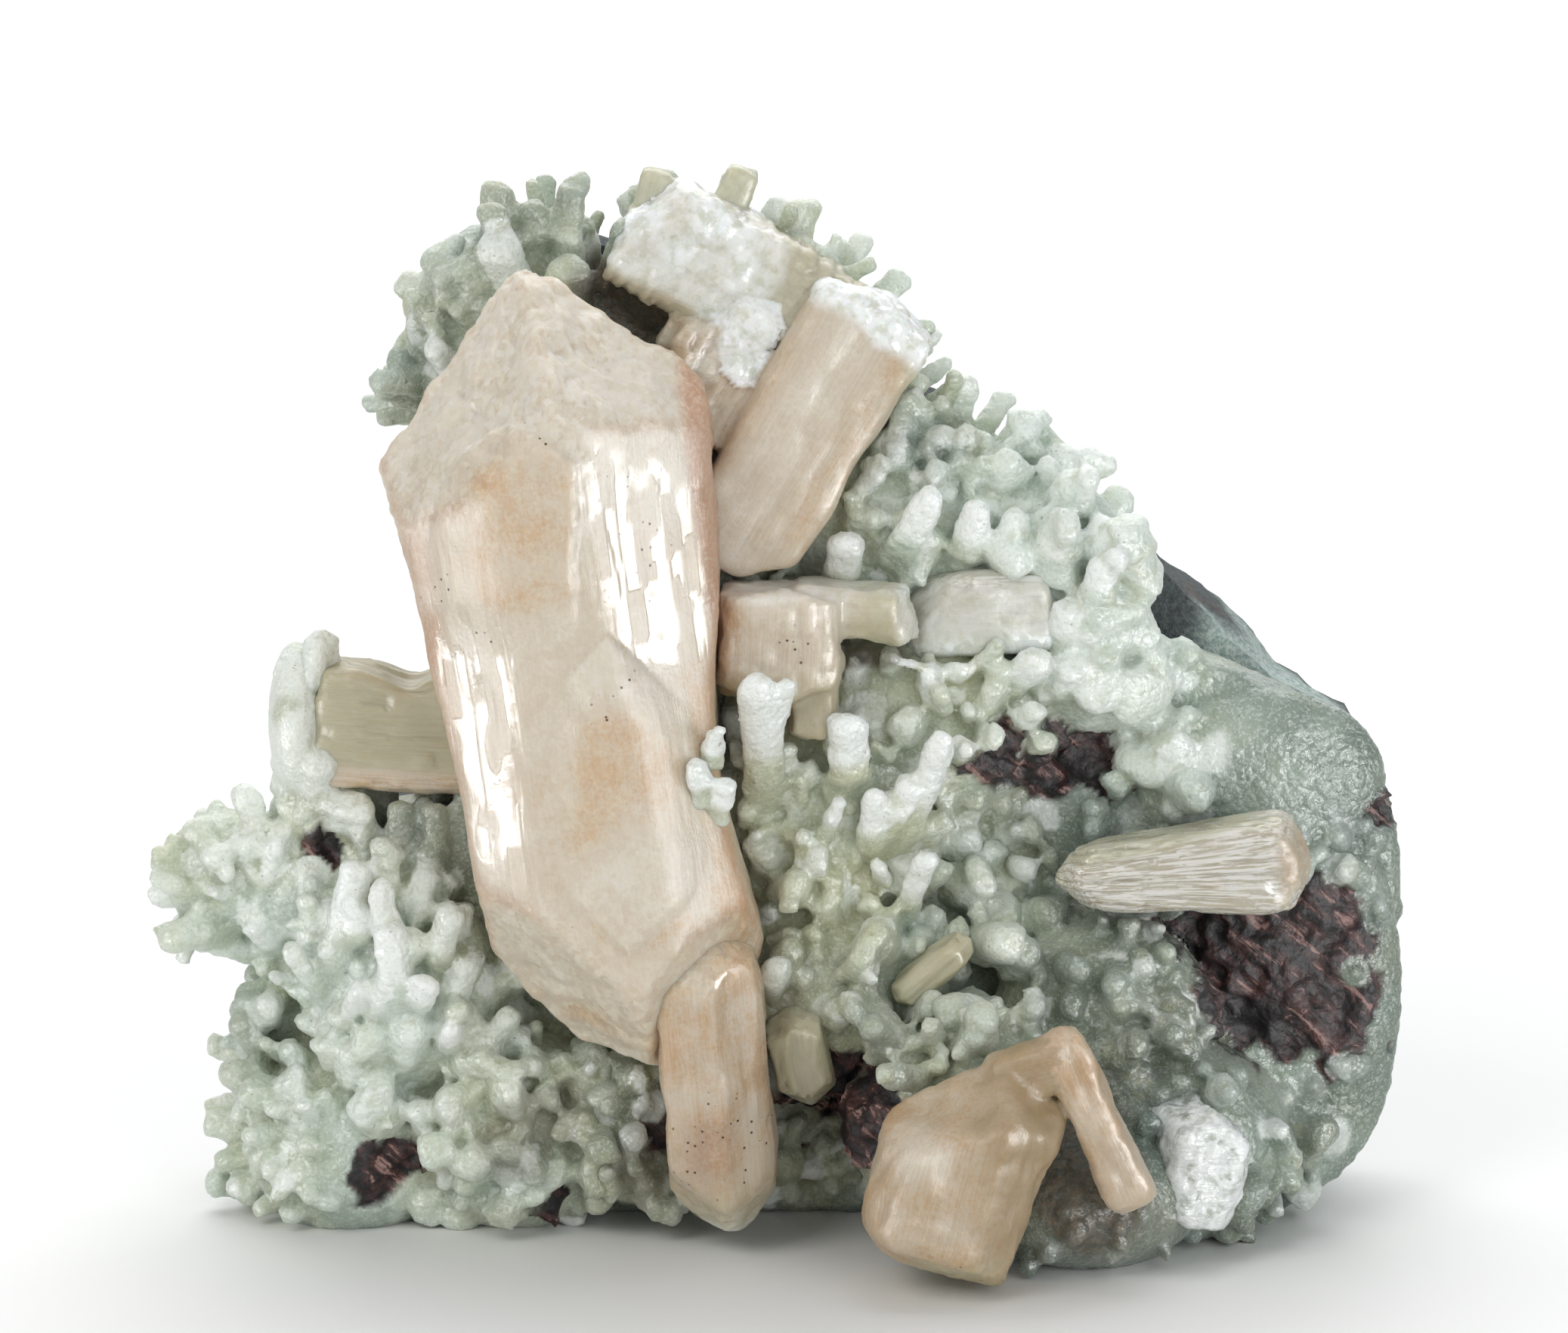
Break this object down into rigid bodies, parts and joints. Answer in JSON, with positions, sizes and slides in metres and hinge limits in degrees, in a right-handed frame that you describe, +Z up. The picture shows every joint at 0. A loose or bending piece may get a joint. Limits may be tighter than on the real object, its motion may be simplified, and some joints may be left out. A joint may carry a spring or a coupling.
{
  "type": "stilbite mineral specimen",
  "caption": "Peach stilbite crystals with wedge-shaped ends on a green crust of chalcedony fingers, backed by a basalt plate that stands on its flat lower edge.",
  "frame": {"origin": "on the surface that it stands on, under the middle of the whole specimen", "axes": "+X to the right of the crystals' front, +Y to the rock back, +Z up"},
  "size_m": [0.1209, 0.0566, 0.1015],
  "materials": {
    "basalt": "rough broken rock, matt",
    "chalcedony": "waxy and slightly translucent, with rough brown oxide patches",
    "stilbite": "pearly, striated along the crystal, slightly translucent",
    "pale_stilbite": "silky and fibrous",
    "calcite": "white, sugary and glassy"
  },
  "bodies": {
    "root": {"basalt_matrix": "basalt", "chalcedony_crust": "chalcedony", "main_stilbite": "stilbite", "upper_stilbite_cluster": "stilbite", "left_stilbite_bar": "stilbite", "middle_stilbite": "stilbite", "buried_stilbite": "pale_stilbite", "right_stilbite_sheaf": "pale_stilbite", "lower_right_stilbite": "stilbite", "low_stilbite_blade": "stilbite", "high_stilbite_blade": "stilbite", "white_calcite": "calcite"}
  },
  "joints": []
}
